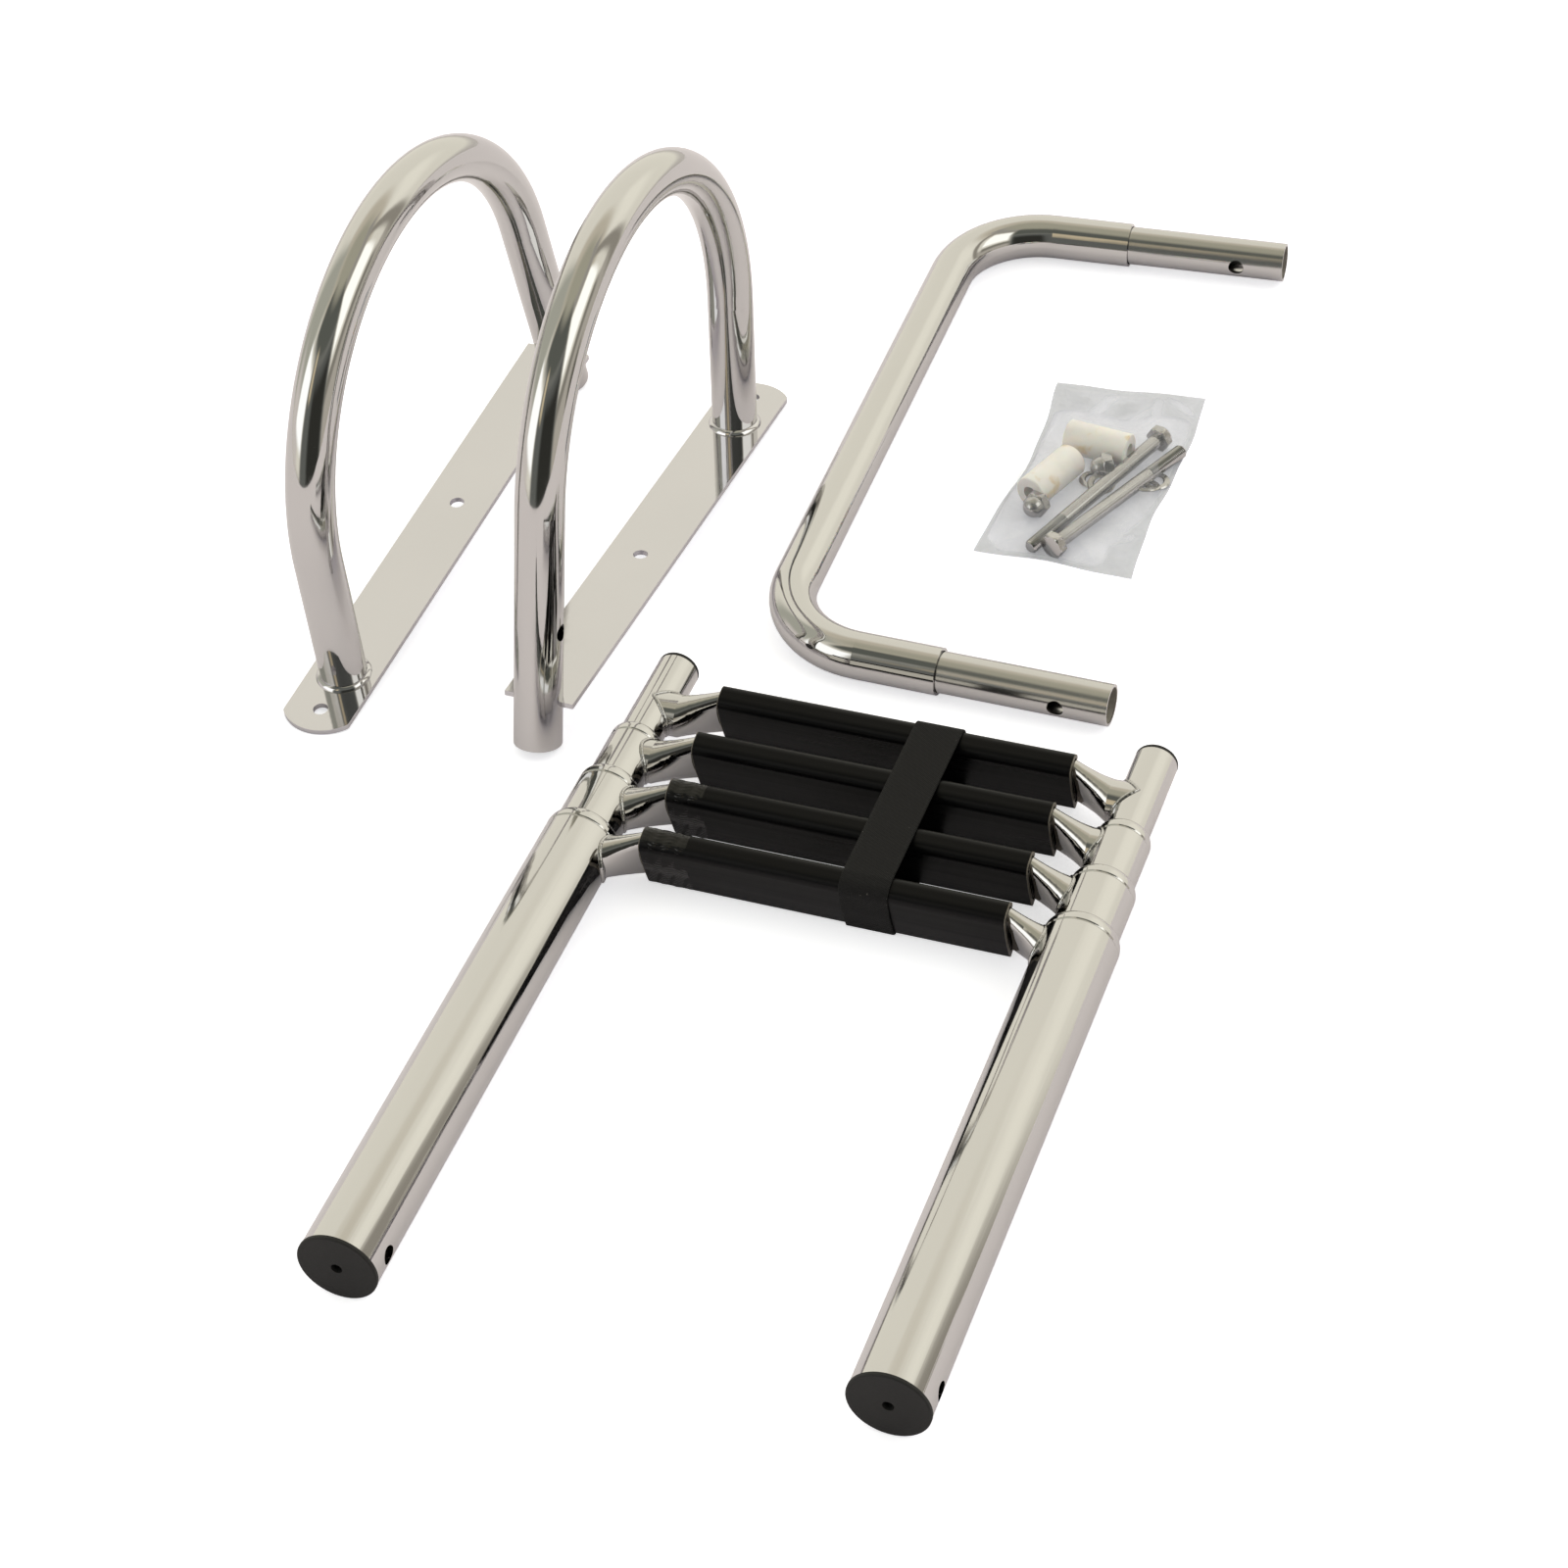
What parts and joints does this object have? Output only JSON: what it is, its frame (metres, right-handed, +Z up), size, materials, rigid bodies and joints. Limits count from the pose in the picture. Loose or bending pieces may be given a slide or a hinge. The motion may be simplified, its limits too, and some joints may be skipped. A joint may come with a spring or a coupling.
{
  "type": "telescopic boat ladder kit",
  "caption": "Telescopic stainless boat ladder, collapsed and strapped, with arched handrails on strip plates, a U-shaped stand-off tube and a bag of fasteners laid beside it.",
  "frame": {"origin": "middle of the whole layout, on the floor", "axes": "+Y along the ladder from its hinge end to its foot, +X along the steps, +Z up"},
  "size_m": [0.4708, 0.8886, 0.2393],
  "materials": {
    "polished_steel": "mirror polished stainless tube",
    "plate_steel": "smooth rolled stainless strip",
    "tread_plastic": "black ribbed extruded plastic",
    "grey_cap": "dark grey moulded plastic",
    "black_plug": "black moulded plastic",
    "webbing": "charcoal woven webbing",
    "clear_film": "clear film bag holding bolts, spacers and nuts"
  },
  "bodies": {
    "root": {"foot_plug_left": "black_plug", "section_4_tube_left": "polished_steel", "foot_plug_right": "black_plug", "section_4_tube_right": "polished_steel", "step_tube_4": "polished_steel", "tread_cover_4": "tread_plastic", "handrail_1_tube": "polished_steel", "handrail_1_plate": "plate_steel", "handrail_2_tube": "polished_steel", "handrail_2_plate": "plate_steel", "standoff_bow": "polished_steel", "standoff_insert_near": "polished_steel", "standoff_insert_far": "polished_steel", "hardware_bag": "clear_film"},
    "section_3": {"section_3_tube_left": "polished_steel", "section_3_tube_right": "polished_steel", "step_tube_3": "polished_steel", "tread_cover_3": "tread_plastic"},
    "section_2": {"section_2_tube_left": "polished_steel", "section_2_tube_right": "polished_steel", "step_tube_2": "polished_steel", "tread_cover_2": "tread_plastic"},
    "outer_section": {"outer_tube_left": "polished_steel", "outer_tube_right": "polished_steel", "hinge_cap_left": "grey_cap", "hinge_cap_right": "grey_cap", "step_tube_1": "polished_steel", "tread_cover_1": "tread_plastic", "strap": "webbing"}
  },
  "joints": [
    {"name": "section_4_slide", "type": "slide", "parent": "root", "child": "section_3", "axis": [0, -1, 0], "range_m": [0, 0.245], "deforming": ["strap"]},
    {"name": "section_3_slide", "type": "slide", "parent": "section_3", "child": "section_2", "axis": [0, -1, 0], "range_m": [0, 0.245], "deforming": ["strap"]},
    {"name": "section_2_slide", "type": "slide", "parent": "section_2", "child": "outer_section", "axis": [0, -1, 0], "range_m": [0, 0.245], "deforming": ["strap"]}
  ]
}
